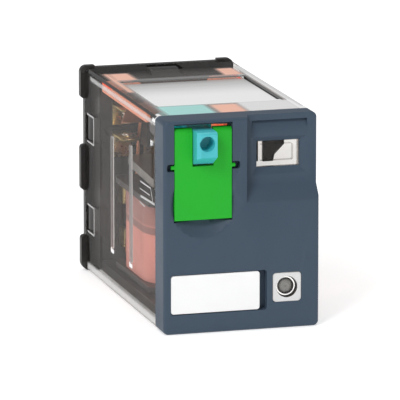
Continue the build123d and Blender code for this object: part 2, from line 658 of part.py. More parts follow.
with BuildPart() as yoke:
    with BuildSketch(Plane.YZ.offset(-HALF_YOKE)):
        with BuildLine():
            Polyline(
                (-YOKE_BACK, YOKE_BOTTOM),
                (-PIVOT_FORWARD, YOKE_BOTTOM),
                (-PIVOT_FORWARD, POLE_TOP),
                (-PIVOT_FORWARD + STEEL, POLE_TOP),
                (-PIVOT_FORWARD + STEEL, YOKE_BOTTOM + STEEL),
                (-YOKE_BACK, YOKE_BOTTOM + STEEL),
                close=True,
            )
        make_face()
    extrude(amount=2 * HALF_YOKE)
    # rivet hole for the core
    with BuildSketch(Plane.XY.offset(YOKE_BOTTOM)):
        with Locations((0, -COIL_AXIS)):
            Circle(STEM_RADIUS + 0.03)
    extrude(amount=STEEL, mode=Mode.SUBTRACT)
    # hook for the return spring
    with BuildSketch(forward(PIVOT_FORWARD)):
        with Locations((HOOK_X, HOOK_Z)):
            Rectangle(HOOK_WIDTH, 0.6)
    extrude(amount=HOOK_LENGTH)
    fillet(yoke.edges().filter_by(Axis.X).filter_by_position(Axis.Y, -31.3, -31.1).group_by(Axis.Z)[0], 1.0)
save(yoke.part, "yoke")

with BuildPart() as bobbin:
    for level in (BOBBIN_BOTTOM, BOBBIN_TOP - FLANGE_THICK):
        with BuildSketch(Plane.XY.offset(level)):
            with Locations((0, -COIL_AXIS)):
                RectangleRounded(FLANGE_WIDTH, FLANGE_LENGTH, 1.2)
        extrude(amount=FLANGE_THICK)
    with BuildSketch(Plane.XY.offset(BOBBIN_BOTTOM)):
        with Locations((0, -COIL_AXIS)):
            Circle(TUBE_RADIUS)
    extrude(amount=BOBBIN_TOP - BOBBIN_BOTTOM)
    with BuildSketch(Plane.XY.offset(BOBBIN_BOTTOM)):
        with Locations((0, -COIL_AXIS)):
            Circle(CORE_RADIUS + 0.03)
    extrude(amount=BOBBIN_TOP - BOBBIN_BOTTOM, mode=Mode.SUBTRACT)
save(bobbin.part, "bobbin")

SPOOL_BOTTOM = BOBBIN_BOTTOM + FLANGE_THICK
SPOOL_TOP = BOBBIN_TOP - FLANGE_THICK


def spool_layer(width, inner):
    """Closed ring of winding or tape between the bobbin's flanges."""
    with BuildPart() as layer:
        with BuildSketch(Plane.XY.offset(SPOOL_BOTTOM + 0.02)):
            with Locations((0, -COIL_AXIS)):
                RectangleRounded(width, width + 1.0, 5.0)
                if inner:
                    RectangleRounded(inner, inner + 1.0, 4.8, mode=Mode.SUBTRACT)
                else:
                    Circle(TUBE_RADIUS + 0.02, mode=Mode.SUBTRACT)
        extrude(amount=SPOOL_TOP - SPOOL_BOTTOM - 0.04)
    return layer.part


save(spool_layer(WINDING_WIDTH, None), "coil_winding")
save(spool_layer(TAPE_WIDTH, WINDING_WIDTH + 0.04), "coil_tape")

# ---------------------------------------------------------------- armature, built closed and then lifted
ARMATURE_UNDER = PIVOT_Z
ARMATURE_TOP = PIVOT_Z + STEEL
RIVET_X, RIVET_FORWARD = 4.2, 27.0
RIVET_RADIUS = 0.6
RIVET_GRIP = 1.7  # thickness of the card's foot above the armature

with BuildPart() as closed_armature:
    with BuildSketch(Plane.XY.offset(ARMATURE_UNDER)):
        with Locations((0, -20.5)):
            RectangleRounded(14.0, 22.0, 1.0)
        with Locations((-4.0, -32.4)):
            Rectangle(2.2, 2.0)
    extrude(amount=STEEL)
    with BuildSketch(Plane.XY.offset(ARMATURE_UNDER)):
        with Locations((-RIVET_X, -RIVET_FORWARD), (RIVET_X, -RIVET_FORWARD)):
            Circle(RIVET_RADIUS + 0.02)
    extrude(amount=STEEL, mode=Mode.SUBTRACT)
armature = tilt_open(closed_armature.part)
save(armature, "armature")

with BuildPart() as closed_rivets:
    for x in (-RIVET_X, RIVET_X):
        with BuildSketch(Plane.XY.offset(ARMATURE_UNDER)):
            with Locations((x, -RIVET_FORWARD)):
                Circle(RIVET_RADIUS)
        extrude(amount=STEEL + RIVET_GRIP)
        with BuildSketch(Plane.XY.offset(ARMATURE_TOP + RIVET_GRIP)):
            with Locations((x, -RIVET_FORWARD)):
                Circle(1.0)
        extrude(amount=0.4)
card_rivets = tilt_open(closed_rivets.part)
save(card_rivets, "card_rivets")

# ---------------------------------------------------------------- contact card
CARD_HALF = 8.6
below_armature = tilt_open(Pos(0, -20, ARMATURE_UNDER - 5) * Box(20, 40, 10))
CARD_FRONT = 30.6
PUSH_FACE = 31.1
CARD_BACK = 29.0
CARD_BOTTOM, CARD_TOP = 3.4, 12.4
CARRIER_BACK = 27.0  # rear of the ledge that holds the springs
FOOT_Z, FOOT_TOP = 2.0, 4.2

with BuildPart() as contact_card:
    # upright wall, spring carrier, foot on the armature
    with BuildSketch(Plane.YZ.offset(-CARD_HALF)):
        with BuildLine():
            Polyline(
                (-CARD_FRONT, CARD_BOTTOM),
                (-CARD_FRONT, CARD_TOP),
                (-CARRIER_BACK, CARD_TOP),
                (-CARRIER_BACK, 10.4),
                (-CARD_BACK, 10.0),
                (-CARD_BACK, CARD_BOTTOM),
                close=True,
            )
        make_face()
    extrude(amount=2 * CARD_HALF)
    with BuildSketch(Plane.XY.offset(FOOT_Z)):
        with Locations((0, -CARD_FRONT)):
            Rectangle(12.4, 5.6, align=(Align.CENTER, Align.MIN))
    extrude(amount=FOOT_TOP - FOOT_Z)
    # face that the test button pushes
    with BuildSketch(forward(CARD_FRONT)):
        with Locations((-5.4, 10.8)):
            Rectangle(5.4, 2.8)
    extrude(amount=PUSH_FACE - CARD_FRONT)
    # stiffening gussets
    for x in (-6.0, 0.0, 5.4):
        with BuildSketch(Plane.YZ.offset(x)):
            with BuildLine():
                Polyline((-CARD_BACK, FOOT_TOP), (-25.4, FOOT_TOP), (-CARD_BACK, 9.0), close=True)
            make_face()
        extrude(amount=0.6)
    # slots for the springs
    with BuildSketch(forward(SPRING_FRONT + 0.1)):
        with Locations(*[(x, SPRING_HIGH_Z) for x in COLUMNS]):
            Rectangle(SPRING_WIDTH + 2 * 0.03, SPRING_THICK + 2 * 0.02)
    extrude(amount=-4.0, mode=Mode.SUBTRACT)
    # seat on the lifted armature and holes for the rivets
    add(armature, mode=Mode.SUBTRACT)
    add(below_armature, mode=Mode.SUBTRACT)
    add(card_rivets, mode=Mode.SUBTRACT)
save(contact_card.part, "contact_card")

# ---------------------------------------------------------------- indicator flag
FLAG_BACK, FLAG_THICK = 35.0, 0.6
FLAG_LEFT, FLAG_RIGHT = 2.6, 5.9
FLAG_BOTTOM, FLAG_TOP = 7.0, 11.9
LIMB_FRONT, LIMB_THICK = 34.2, 0.8  # where the arm turns across to the window

with BuildPart() as flag_arm:
    # limb clipped to the card's top edge, reaching forward and across to the window
    with BuildSketch(forward(CARD_FRONT)):
        with Locations((-0.6, 11.6)):
            Rectangle(3.4, 1.2)
    extrude(amount=FLAG_BACK - CARD_FRONT)
    with BuildSketch(forward(LIMB_FRONT)):
        with Locations((2.3, 11.4)):
            Rectangle(5.4, 1.6)
    extrude(amount=LIMB_THICK)
    fillet(flag_arm.edges().filter_by(Axis.Y).group_by(Axis.X)[-1], 0.4)
save(flag_arm.part, "flag_arm")

with BuildPart() as indicator_flag:
    # plate with one raked edge behind the window
    with BuildSketch(forward(FLAG_BACK)):
        with BuildLine():
            Polyline(
                (FLAG_LEFT, FLAG_TOP),
                (FLAG_RIGHT, FLAG_TOP),
                (FLAG_RIGHT, 9.6),
                (FLAG_RIGHT - 1.0, FLAG_BOTTOM),
                (FLAG_LEFT, FLAG_BOTTOM),
                close=True,
            )
        make_face()
    extrude(amount=FLAG_THICK)
    fillet(indicator_flag.edges().filter_by(Axis.Y).group_by(Axis.Z)[0], 0.4)
save(indicator_flag.part, "indicator_flag")

# ---------------------------------------------------------------- return spring
SPRING_TURNS_HEIGHT = 7.1
SPRING_X = HOOK_X
SPRING_FORWARD = 32.6
SPRING_FOOT = -6.45  # lower end, on the yoke's hook
TURN_PITCH, TURN_RADIUS, TURN_WIRE = 0.56, 0.8, 0.15

with BuildPart() as return_spring:
    with BuildLine() as coil:
        Helix(
            pitch=TURN_PITCH,
            height=SPRING_TURNS_HEIGHT,
            radius=TURN_RADIUS,
            center=(SPRING_X, -SPRING_FORWARD, SPRING_FOOT),
        )
    with BuildSketch(Plane(origin=coil.line @ 0, z_dir=coil.line % 0)):
        Circle(TURN_WIRE)
    sweep(path=coil.line, is_frenet=True)
save(return_spring.part, "return_spring")


# ---------------------------------------------------------------- wires
def wire(points, radius, bend):
    """Round wire along a route with rounded corners."""
    with BuildPart() as strand:
        with BuildLine() as route:
            FilletPolyline(*points, radius=bend)
        with BuildSketch(Plane(origin=route.line @ 0, z_dir=route.line % 0)):
            Circle(radius)
        sweep(path=route.line)
    return strand.part


def pigtail(x):
    """Braid from a common blade's tab, beside the contacts, to the moving spring."""
    side = x + 1.58
    points = (
        (side, -7.3, COM_Z),
        (side, -7.9, 1.6),
        (side, -8.6, 7.0),
        (side, -12.0, 12.1),
        (side - 0.6, -17.0, 11.95),
    )
    return wire(points, 0.26, 1.0)


for number, x in enumerate(COLUMNS, start=1):
    save(pigtail(x), f"pigtail_{number}")

left_lead = ((COLUMNS[0], -7.9, COIL_Z), (COLUMNS[0], -8.2, -10.0), (COLUMNS[0] + 1.0, -8.6, -11.2))
right_lead = ((COLUMNS[3], -7.9, COIL_Z), (COLUMNS[3], -8.2, -10.0), (COLUMNS[3] - 1.0, -8.6, -11.2))
save(Compound([wire(left_lead, 0.22, 0.5), wire(right_lead, 0.22, 0.5)]), "coil_leads")

LEAD_X = 9.15
upper_lead = ((COLUMNS[3] + 0.6, -7.0, -9.3), (LEAD_X, -8.0, -9.3), (LEAD_X, -33.0, -9.3), (8.2, -33.9, -9.3))
lower_lead = (
    (COLUMNS[0] + 0.6, -6.6, -9.5),
    (COLUMNS[0] + 2.0, -6.6, -10.6),
    (LEAD_X - 1.5, -6.6, -10.6),
    (LEAD_X, -8.2, -10.6),
    (LEAD_X, -33.0, -10.6),
    (8.2, -33.9, -10.6),
)
save(Compound([wire(upper_lead, 0.28, 0.6), wire(lower_lead, 0.28, 0.6)]), "led_leads")

# ---------------------------------------------------------------- indicator circuit
BOARD_LEFT, BOARD_RIGHT = 1.2, 9.0
BOARD_BOTTOM, BOARD_TOP = -12.4, -2.4
LED_FLANGE_RADIUS, LED_FLANGE_THICK = 1.7, 0.9
LED_RADIUS, LED_LENGTH = 1.38, 3.9

with BuildPart() as led_board:
    with BuildSketch(forward(BOARD_BACK)):
        with Locations(((BOARD_LEFT + BOARD_RIGHT) / 2, (BOARD_BOTTOM + BOARD_TOP) / 2)):
            Rectangle(BOARD_RIGHT - BOARD_LEFT, BOARD_TOP - BOARD_BOTTOM)
    extrude(amount=BOARD_FRONT - BOARD_BACK)
save(led_board.part, "led_board")

with BuildPart() as led:
    with BuildSketch(forward(BOARD_FRONT)):
        with Locations((LED_X, LED_Z)):
            Circle(LED_FLANGE_RADIUS)
    extrude(amount=LED_FLANGE_THICK)
    with BuildSketch(forward(BOARD_FRONT)):
        with Locations((LED_X, LED_Z)):
            Circle(LED_RADIUS)
    extrude(amount=LED_LENGTH)
    fillet(led.edges().sort_by(Axis.Y)[0], 1.3)
save(led.part, "led")


def axial_part(x, radius, length):
    """Body along Z behind the board, with leads bent into it."""
    middle = (BOARD_BOTTOM + BOARD_TOP) / 2
    stand = BOARD_BACK - radius - 0.15
    with BuildPart() as body:
        with BuildSketch(Plane.XY.offset(middle - length / 2)):
            with Locations((x, -stand)):
                Circle(radius)
        extrude(amount=length)
        fillet(body.edges().filter_by(GeomType.CIRCLE), radius * 0.4)
    lead_end = length / 2 + 1.0
    for way in (-1, 1):
        points = (
            (x, -stand, middle + way * (length / 2 - 0.3)),
            (x, -stand, middle + way * lead_end),
            (x, -BOARD_BACK, middle + way * lead_end),
        )
        body.part += wire(points, 0.2, 0.35)
    return body.part


save(axial_part(2.8, 0.9, 4.4), "resistor")
save(axial_part(5.6, 0.75, 3.4), "diode")
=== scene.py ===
import math

import bmesh
import bpy
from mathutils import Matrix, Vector


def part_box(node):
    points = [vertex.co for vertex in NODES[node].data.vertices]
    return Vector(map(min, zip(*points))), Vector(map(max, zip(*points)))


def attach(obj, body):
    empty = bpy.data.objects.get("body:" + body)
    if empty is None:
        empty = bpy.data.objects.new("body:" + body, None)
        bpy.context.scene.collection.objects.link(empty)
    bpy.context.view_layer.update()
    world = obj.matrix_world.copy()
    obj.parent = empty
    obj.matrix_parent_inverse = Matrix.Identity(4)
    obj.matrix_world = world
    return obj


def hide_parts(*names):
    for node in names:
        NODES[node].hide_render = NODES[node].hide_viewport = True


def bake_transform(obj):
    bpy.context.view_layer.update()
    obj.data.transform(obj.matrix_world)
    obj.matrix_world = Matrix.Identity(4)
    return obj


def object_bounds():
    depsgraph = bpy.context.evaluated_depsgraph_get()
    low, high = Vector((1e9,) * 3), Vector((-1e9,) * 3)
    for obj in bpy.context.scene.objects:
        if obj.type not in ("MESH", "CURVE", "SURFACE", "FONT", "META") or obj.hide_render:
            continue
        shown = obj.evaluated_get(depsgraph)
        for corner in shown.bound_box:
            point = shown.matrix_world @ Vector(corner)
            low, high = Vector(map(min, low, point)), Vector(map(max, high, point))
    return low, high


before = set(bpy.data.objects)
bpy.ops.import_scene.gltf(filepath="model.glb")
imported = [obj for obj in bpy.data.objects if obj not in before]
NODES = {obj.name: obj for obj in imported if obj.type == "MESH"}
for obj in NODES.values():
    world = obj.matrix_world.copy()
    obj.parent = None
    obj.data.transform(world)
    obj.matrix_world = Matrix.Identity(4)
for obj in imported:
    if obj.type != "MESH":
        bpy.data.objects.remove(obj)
cad_low, cad_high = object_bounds()

MM = 0.001
lamp_low, lamp_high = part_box("led")
LAMP_CENTRE = (Vector(lamp_low) + Vector(lamp_high)) / 2

# ---------------------------------------------------------------- material tools
NOISE_LOW, NOISE_HIGH = 0.3, 0.7  # nearly all values of a noise lie between these
BLOTCHES = 220  # features per metre, for each kind of noise
MOULD_GRAIN = 5200
BRUSH_LINES = 1500
TARNISH = 260
RIPPLES = 90
RIPPLE_HEIGHT = 0.02 * MM
GLOSS_SPREAD = 0.05  # how far the roughness of plastic strays to each side
BRUSHED_BELOW, BRUSHED_ABOVE = 0.07, 0.08  # how far the roughness of metal strays
TARNISH_DARK, TARNISH_LIGHT = 0.86, 1.06


def new_material(name):
    """An empty node material with its output node."""
    material = bpy.data.materials.new(name)
    material.use_nodes = True
    material.node_tree.nodes.clear()
    output = material.node_tree.nodes.new("ShaderNodeOutputMaterial")
    return material, material.node_tree, output


def object_noise(tree, scale, detail=2.0, stretch=(1, 1, 1)):
    """Noise fixed to the object. scale counts features per metre."""
    place = tree.nodes.new("ShaderNodeTexCoord")
    mapping = tree.nodes.new("ShaderNodeMapping")
    mapping.inputs["Scale"].default_value = stretch
    noise = tree.nodes.new("ShaderNodeTexNoise")
    noise.inputs["Scale"].default_value = scale
    noise.inputs["Detail"].default_value = detail
    tree.links.new(place.outputs["Object"], mapping.inputs["Vector"])
    tree.links.new(mapping.outputs["Vector"], noise.inputs["Vector"])
    return noise


def spread(tree, source, low, high):
    """Maps a noise to the range low to high."""
    node = tree.nodes.new("ShaderNodeMapRange")
    node.inputs["From Min"].default_value = NOISE_LOW
    node.inputs["From Max"].default_value = NOISE_HIGH
    node.inputs["To Min"].default_value = low
    node.inputs["To Max"].default_value = high
    tree.links.new(source, node.inputs["Value"])
    return node.outputs["Result"]


def shade_between(tree, source, dark, light):
    """Colour that runs from dark to light with a noise."""
    ramp = tree.nodes.new("ShaderNodeValToRGB")
    ramp.color_ramp.elements[0].position = NOISE_LOW
    ramp.color_ramp.elements[0].color = (*dark, 1)
    ramp.color_ramp.elements[1].position = NOISE_HIGH
    ramp.color_ramp.elements[1].color = (*light, 1)
    tree.links.new(source, ramp.inputs["Fac"])
    return ramp.outputs["Color"]


def grain_bump(tree, shader, height, distance):
    """Roughens a shader's surface with a noise. distance is the height of its features."""
    bump = tree.nodes.new("ShaderNodeBump")
    bump.inputs["Strength"].default_value = 1.0
    bump.inputs["Distance"].default_value = distance
    tree.links.new(height, bump.inputs["Height"])
    tree.links.new(bump.outputs["Normal"], shader.inputs["Normal"])


def scaled(colour, factor):
    """A colour made lighter or darker."""
    return tuple(min(1.0, c * factor) for c in colour)


def moulded(name, colour, roughness=0.42, grain=0.012 * MM, variation=0.06, specular=0.5, glow=0.0):
    """Moulded plastic: fine spark-eroded grain, slight variation of colour and gloss."""
    material, tree, output = new_material(name)
    shader = tree.nodes.new("ShaderNodeBsdfPrincipled")
    shader.inputs["Specular IOR Level"].default_value = specular
    broad = object_noise(tree, BLOTCHES, 3.0).outputs["Fac"]
    fine = object_noise(tree, MOULD_GRAIN, 3.0).outputs["Fac"]
    colours = shade_between(tree, broad, scaled(colour, 1 - variation), scaled(colour, 1 + variation))
    gloss = spread(tree, broad, roughness - GLOSS_SPREAD, roughness + GLOSS_SPREAD)
    tree.links.new(colours, shader.inputs["Base Color"])
    tree.links.new(gloss, shader.inputs["Roughness"])
    grain_bump(tree, shader, fine, grain)
    if glow:
        # makes up for light that is lost on its way through the cover
        shader.inputs["Emission Color"].default_value = (*colour, 1)
        shader.inputs["Emission Strength"].default_value = glow
    tree.links.new(shader.outputs["BSDF"], output.inputs["Surface"])
    return material


def metal(name, colour, roughness=0.3, brush=(1, 14, 1), scratch=0.004 * MM):
    """Rolled or plated metal with faint lines along one direction."""
    material, tree, output = new_material(name)
    shader = tree.nodes.new("ShaderNodeBsdfPrincipled")
    shader.inputs["Metallic"].default_value = 1.0
    lines = object_noise(tree, BRUSH_LINES, 3.0, stretch=brush).outputs["Fac"]
    blotch = object_noise(tree, TARNISH, 2.0).outputs["Fac"]
    colours = shade_between(tree, blotch, scaled(colour, TARNISH_DARK), scaled(colour, TARNISH_LIGHT))
    gloss = spread(tree, lines, roughness - BRUSHED_BELOW, roughness + BRUSHED_ABOVE)
    tree.links.new(colours, shader.inputs["Base Color"])
    tree.links.new(gloss, shader.inputs["Roughness"])
    grain_bump(tree, shader, lines, scratch)
    tree.links.new(shader.outputs["BSDF"], output.inputs["Surface"])
    return material


def calculate(tree, operation, first, second=None, clamp=False):
    """One Math node. Its two inputs are sockets or numbers."""
    node = tree.nodes.new("ShaderNodeMath")
    node.operation = operation
    node.use_clamp = clamp
    for index, value in enumerate((first, second)):
        if isinstance(value, (int, float)):
            node.inputs[index].default_value = value
        elif value is not None:
            tree.links.new(value, node.inputs[index])
    return node.outputs["Value"]


def ramp_along(tree, value, start, end, low=0.0, high=1.0):
    """Runs smoothly from low to high as a value goes from start to end."""
    node = tree.nodes.new("ShaderNodeMapRange")
    node.interpolation_type = "SMOOTHSTEP"
    node.inputs["From Min"].default_value = start
    node.inputs["From Max"].default_value = end
    node.inputs["To Min"].default_value = low
    node.inputs["To Max"].default_value = high
    tree.links.new(value, node.inputs["Value"])
    return node.outputs["Result"]


def band(tree, value, low, high, soft):
    """1 between two positions and 0 outside, with soft borders, in millimetres."""
    middle = calculate(tree, "SUBTRACT", value, (low + high) / 2 * MM)
    away = calculate(tree, "ABSOLUTE", middle)
    half = (high - low) / 2
    return ramp_along(tree, away, (half - soft / 2) * MM, (half + soft / 2) * MM, 1.0, 0.0)


def patch(tree, places, soft, amount, **ranges):
    """A box on the object with soft borders, from its ranges in up to three directions, in millimetres."""
    result = amount
    for direction, (low, high) in ranges.items():
        result = calculate(tree, "MULTIPLY", band(tree, places[direction], low, high, soft), result)
    return result


def object_places(tree):
    """Sockets for the position across, forward and up, and aside, the distance from the middle plane."""
    place = tree.nodes.new("ShaderNodeTexCoord")
    parts = tree.nodes.new("ShaderNodeSeparateXYZ")
    tree.links.new(place.outputs["Object"], parts.inputs["Vector"])
    return {
        "across": parts.outputs["X"],
        "aside": calculate(tree, "ABSOLUTE", parts.outputs["X"]),
        "forward": calculate(tree, "MULTIPLY", parts.outputs["Y"], -1.0),
        "up": parts.outputs["Z"],
    }


def total(tree, amounts):
    """Adds several amounts and stops at 1."""
    result = amounts[0]
    for amount in amounts[1:]:
        result = calculate(tree, "ADD", result, amount, clamp=True)
    return result


def mix_colours(tree, share, under, over):
    """Colour that goes from under to over as a share goes from 0 to 1. Each is a socket or a colour."""
    node = tree.nodes.new("ShaderNodeMix")
    node.data_type = "RGBA"
    tree.links.new(share, node.inputs["Factor"])
    for name, value in (("A", under), ("B", over)):
        if isinstance(value, tuple):
            node.inputs[name].default_value = (*value, 1)
        else:
            tree.links.new(value, node.inputs[name])
    return node.outputs["Result"]


# ---------------------------------------------------------------- smoked cover
COVER_TINT = (0.93, 0.92, 0.91)
COVER_FILM = (0.075, 0.07, 0.066)
# white of the top pad's frost and of the painted highlights and reflections on the cover
COVER_FROST_AND_HIGHLIGHT = (0.97, 0.97, 0.97)
# black of the painted shade: dark lines on walls and edges of the clear plastic, and the shadow in a slot
COVER_PAINTED_SHADE = (0.012, 0.012, 0.012)
COVER_IOR = 1.5
POLISHED, FROSTED = 0.05, 0.35  # roughness of the skin
HAZE = 0.10
# painted reflection: the top shows more of its glossy skin than the sides, and less of it over the base at
# the rear
SIDE_GLOSS = 0.2
TOP_GLOSS = 0.7
GLOSS_STARTS, GLOSS_FULL = 5, 13  # forward, where the top's gloss begins and reaches its full strength
HEAD_ON_MIRROR = 0.04  # share that clear plastic mirrors when it is seen head on
ASLANT_POWER = 5.0  # how sharply that share grows as the plastic is seen more aslant

# Ranges on the object, in millimetres, in the directions that object_places gives
SIDES = (10.0, 11.0)  # aside, holds the skin of both sides
SIDES_CLEAR_OF_EDGE = (10.2, 11.0)
TOP = (13.9, 15.0)  # up, holds the skin of the top
TOP_AND_EDGES = (13.3, 15.6)
PAD = {"aside": (-8.4, 8.4), "forward": (13.3, 30.4), "up": TOP}
# painted reflection: the pad's white grows towards the front, as a glossy reflection does
PAD_FADES, PAD_FULL = 12, 24  # forward, the pad's frost is weak at the first and full at the second
PAD_WEAKEST = 0.3
PAD_BLUR = 0.3
# painted reflection: the lamp boss is painted white round the lamp's hole, for the bright light its clear
# walls refract
LAMP_BOSS = {"across": (4.2, 8.1), "forward": (38.0, 41.0), "up": (-10.6, -6.6)}
BOSS_BLUR = 0.3
BOSS_PAINTED_GLARE = 0.8
LAMP_HOLE = 1.45 * MM  # radius of the hole that shows the lamp
LAMP_HOLE_BLUR = 0.1 * MM
GROOVE_FEET = (-8.5, -7.9)
# painted highlights and reflections, shown white on the skin like frost
PAINTED_HIGHLIGHT_PLACES = (  # width of the soft border, strength and ranges
    # rear groove of each side, front groove, and the foot of each
    (0.2, 1.0, {"aside": SIDES, "forward": (14.35, 14.8), "up": (-8.2, 7.3)}),
    (0.2, 1.0, {"aside": SIDES, "forward": (23.65, 24.15), "up": (-8.0, 7.9)}),
    (0.2, 1.0, {"aside": SIDES, "forward": (14.3, 15.9), "up": GROOVE_FEET}),
    (0.2, 1.0, {"aside": SIDES, "forward": (23.6, 25.2), "up": GROOVE_FEET}),
    # lower and upper edge of each side
    (0.6, 0.65, {"aside": SIDES, "forward": (2.0, 36.5), "up": (-13.5, -12.5)}),
    (0.3, 0.5, {"aside": SIDES, "forward": (4.0, 36.5), "up": (12.9, 13.5)}),
    # corners of the top beside the bezel
    (0.4, 1.0, {"aside": (9.6, 11.0), "forward": (35.1, 36.5), "up": (13.4, 15.0)}),
    # the whole top faintly, partly real frost and partly painted reflection, and more of it in front of the
    # pad's right half
    (1.0, 0.25, {"aside": (-9.3, 9.3), "forward": (11.0, 36.5), "up": TOP_AND_EDGES}),
    (1.0, 0.6, {"across": (2.2, 9.3), "forward": (30.4, 36.5), "up": TOP_AND_EDGES}),
    # catch beside the bezel
    (0.3, 0.9, {"aside": SIDES_CLEAR_OF_EDGE, "forward": (34.2, 35.3), "up": (9.9, 10.7)}),
    # right edge of the top
    (0.3, 0.75, {"across": (9.1, 10.1), "forward": (5.5, 36.5), "up": TOP}),
)
# painted shade: dark lines where walls and edges of the clear plastic look dark, and the shadow in a slot
PAINTED_SHADE_LINES = (  # the same, for dark lines
    # behind the pad and along its right side
    (0.2, 1.0, {"aside": (-8.7, 8.7), "forward": (12.4, 13.1), "up": TOP}),
    (0.2, 1.0, {"across": (8.35, 8.8), "forward": (12.4, 30.0), "up": TOP}),
    # long corner between side and top
    (0.2, 0.95, {"aside": (10.15, 11.0), "forward": (1.0, 36.2), "up": (13.8, 15.0)}),
    # painted shadow in the slot beside the bezel
    (0.3, 0.9, {"aside": SIDES_CLEAR_OF_EDGE, "forward": (35.1, 35.9), "up": (4.6, 8.6)}),
)
# painted highlights: bright lines along the edges of the snap windows in the sides
SNAP_WINDOWS = ((-8.05, -4.55), (4.45, 7.95))  # bottom and top of the windows in the sides
SNAP_BACK, SNAP_FRONT = 2.2, 5.45
SNAP_LINE = 0.25  # width of the bright line round a window
SNAP_BLUR = 0.15
SNAP_FRONT_HIGHLIGHT, SNAP_EDGE_HIGHLIGHT = 0.7, 0.6
# painted light: the orange and teal of the inner pieces, painted on the top as the light that its thick
# plastic carries from them
TOP_GLOW_BLUR = 1.0
TOP_GLOW_HEIGHT = (13.4, 15.6)
TOP_PAINTED_GLOWS = (  # colours of the inner pieces that the thick top gathers: colour, strength and ranges
    (
        (1.0, 0.54, 0.40),
        0.75,
        (
            {"across": (-8.7, -6.0), "forward": (6.6, 11.4)},
            {"across": (6.2, 8.7), "forward": (6.6, 11.4)},
            {"across": (-9.5, -8.8), "forward": (6.4, 20.0)},
            {"across": (-1.6, 1.9), "forward": (31.2, 36.5)},
        ),
    ),
    ((0.40, 0.78, 0.74), 0.5, ({"across": (-8.7, -2.3), "forward": (30.6, 36.5)},)),
)


def from_lamp_axis(tree, places):
    """Distance from the indicator lamp's axis, which runs forward."""
    beside = calculate(tree, "SUBTRACT", places["across"], LAMP_CENTRE.x)
    above = calculate(tree, "SUBTRACT", places["up"], LAMP_CENTRE.z)
    squares = [calculate(tree, "POWER", distance, 2.0) for distance in (beside, above)]
    return calculate(tree, "SQRT", calculate(tree, "ADD", *squares))


def frost_and_highlights(tree, places):
    """Frost and painted highlights of the cover, from 0 to 1: frost on its pad, painted brighter towards
    the front as a reflection, and painted highlights and reflections on the lamp boss, grooves, edges, top
    and snap windows.
    """
    pad = patch(tree, places, PAD_BLUR, 1.0, **PAD)
    pad_light = ramp_along(tree, places["forward"], PAD_FADES * MM, PAD_FULL * MM, PAD_WEAKEST, 1.0)
    boss = patch(tree, places, BOSS_BLUR, BOSS_PAINTED_GLARE, **LAMP_BOSS)
    away = from_lamp_axis(tree, places)
    outside_the_lamp = ramp_along(tree, away, LAMP_HOLE - LAMP_HOLE_BLUR, LAMP_HOLE)
    amounts = [
        calculate(tree, "MULTIPLY", pad, pad_light),
        calculate(tree, "MULTIPLY", boss, outside_the_lamp),
    ]
    for soft, amount, ranges in PAINTED_HIGHLIGHT_PLACES:
        amounts.append(patch(tree, places, soft, amount, **ranges))
    for low, high in SNAP_WINDOWS:
        lines = (
            (SNAP_FRONT_HIGHLIGHT, SNAP_FRONT, (low, high)),
            (SNAP_EDGE_HIGHLIGHT, SNAP_BACK, (low - SNAP_LINE, low)),
            (SNAP_EDGE_HIGHLIGHT, SNAP_BACK, (high, high + SNAP_LINE)),
        )
        for amount, back, up in lines:
            forward = (back, SNAP_FRONT + SNAP_LINE)
            line = patch(tree, places, SNAP_BLUR, amount, aside=SIDES_CLEAR_OF_EDGE, forward=forward, up=up)
            amounts.append(line)
    return total(tree, amounts)


def skin_share(tree, places, frost_and_painted_light, painted_shade):
    """Share of the skin in what is seen, the rest being what lies behind the cover."""
    normal = tree.nodes.new("ShaderNodeTexCoord")
    facing = tree.nodes.new("ShaderNodeSeparateXYZ")
    tree.links.new(normal.outputs["Normal"], facing.inputs["Vector"])
    # painted reflection: upward faces show more of the glossy skin, so that the top looks brighter
    upward = calculate(tree, "MAXIMUM", facing.outputs["Z"], 0.0)
    edge = tree.nodes.new("ShaderNodeLayerWeight")
    edge.inputs["Blend"].default_value = 0.5
    aslant = calculate(tree, "POWER", edge.outputs["Facing"], ASLANT_POWER)
    grown = calculate(tree, "MULTIPLY", aslant, 1 - HEAD_ON_MIRROR)
    mirror = calculate(tree, "ADD", grown, HEAD_ON_MIRROR)
    clear_of_base = ramp_along(tree, places["forward"], GLOSS_STARTS * MM, GLOSS_FULL * MM, 0.0, TOP_GLOSS)
    gloss = calculate(tree, "ADD", calculate(tree, "MULTIPLY", upward, clear_of_base), SIDE_GLOSS)
    share = calculate(tree, "ADD", calculate(tree, "MULTIPLY", mirror, gloss), HAZE)
    share = total(tree, [share, frost_and_painted_light, painted_shade])
    # rays that carry light into the case pass unhindered, so that what is inside is lit
    ray = tree.nodes.new("ShaderNodeLightPath")
    scattered = calculate(tree, "MAXIMUM", ray.outputs["Is Shadow Ray"], ray.outputs["Is Diffuse Ray"])
    return calculate(tree, "MULTIPLY", share, calculate(tree, "SUBTRACT", 1.0, scattered))


